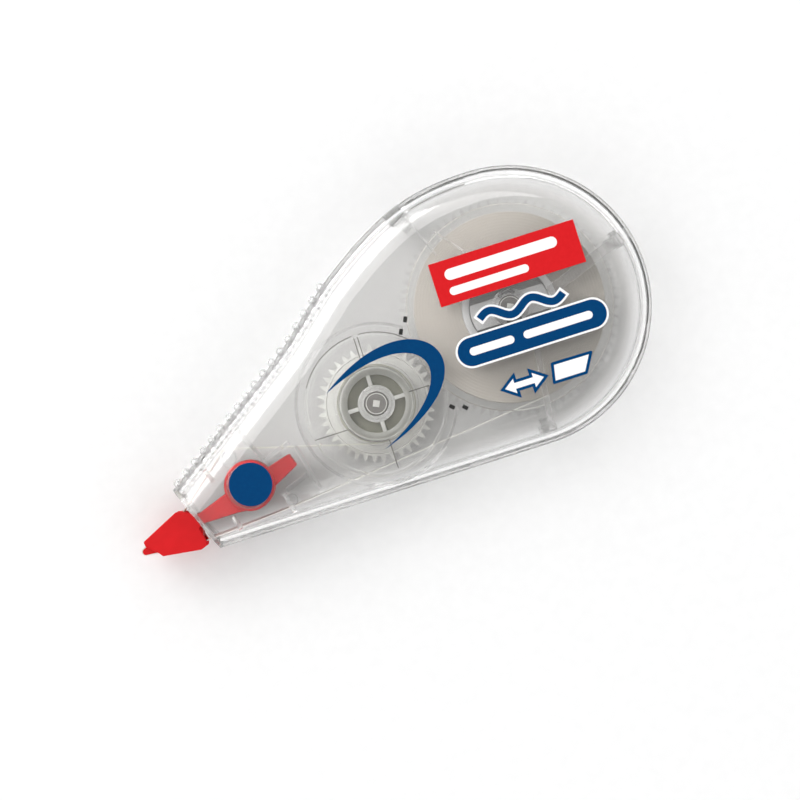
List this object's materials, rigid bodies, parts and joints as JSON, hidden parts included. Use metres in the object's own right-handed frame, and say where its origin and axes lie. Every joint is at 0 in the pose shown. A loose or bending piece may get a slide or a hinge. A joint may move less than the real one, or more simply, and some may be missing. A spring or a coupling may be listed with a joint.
{
  "type": "correction tape roller",
  "caption": "Clear palm-sized correction tape roller with geared tape reels, a slipping supply reel and a red rocking applicator.",
  "frame": {"origin": "middle of the bounding box in plan, on the resting back face", "axes": "+X from the applicator's edge towards the round rear end, +Y from the straight lower edge towards the crown, +Z through the thickness from the back face to the printed front face"},
  "size_m": [0.0759, 0.038, 0.0131],
  "materials": {
    "clear_shell": "clear gloss plastic",
    "clear_disc": "clear plastic",
    "natural_plastic": "satin",
    "white_tape": "matte",
    "backing_paper": "matte",
    "red_plastic": "satin",
    "red_ink": "gloss",
    "blue_ink": "gloss",
    "white_ink": "gloss"
  },
  "bodies": {
    "casing": {"back_shell": "clear_shell", "front_shell": "clear_shell", "feed_tape": "white_tape", "return_tape": "backing_paper", "red_panel": "red_ink", "panel_bars": "white_ink", "blue_badge": "blue_ink", "badge_bars": "white_ink", "badge_rim": "white_ink", "blue_swoosh": "blue_ink", "blue_dot": "blue_ink", "blue_wave": "blue_ink", "wave_rim": "white_ink", "tape_icon_frame": "blue_ink", "tape_icon": "white_ink", "length_arrow_frame": "blue_ink", "length_arrow": "white_ink"},
    "supply_drive": {"supply_gear": "natural_plastic", "clutch_spring": "natural_plastic"},
    "supply_spool": {"supply_core": "natural_plastic", "supply_flange": "clear_disc", "supply_tape_roll": "white_tape"},
    "takeup_reel": {"takeup_gear": "natural_plastic", "takeup_hub": "natural_plastic", "takeup_flange": "clear_disc", "spent_tape_roll": "backing_paper"},
    "applicator": {"applicator_tip": "red_plastic", "tip_tape": "white_tape"}
  },
  "joints": [
    {"name": "supply_gear_spin", "type": "hinge", "parent": "casing", "child": "supply_drive", "pos_m": [0.019, 0, 0], "axis": [0, 0, 1], "continuous": true},
    {"name": "clutch_slip", "type": "hinge", "parent": "supply_drive", "child": "supply_spool", "pos_m": [0.019, 0, 0], "axis": [0, 0, 1], "continuous": true},
    {"name": "takeup_spin", "type": "hinge", "parent": "casing", "child": "takeup_reel", "pos_m": [-0.00189, -0.00691, 0], "axis": [0, 0, 1], "continuous": true},
    {"name": "tip_rock", "type": "hinge", "parent": "casing", "child": "applicator", "pos_m": [-0.0214, -0.0122, 0.0065], "axis": [0, 0, 1], "range_deg": [-2, 2], "stiffness_Nm_per_rad": 0.3}
  ],
  "couplings": [
    {"joint": "takeup_spin", "follows": "supply_gear_spin", "ratio": -1.8947}
  ]
}
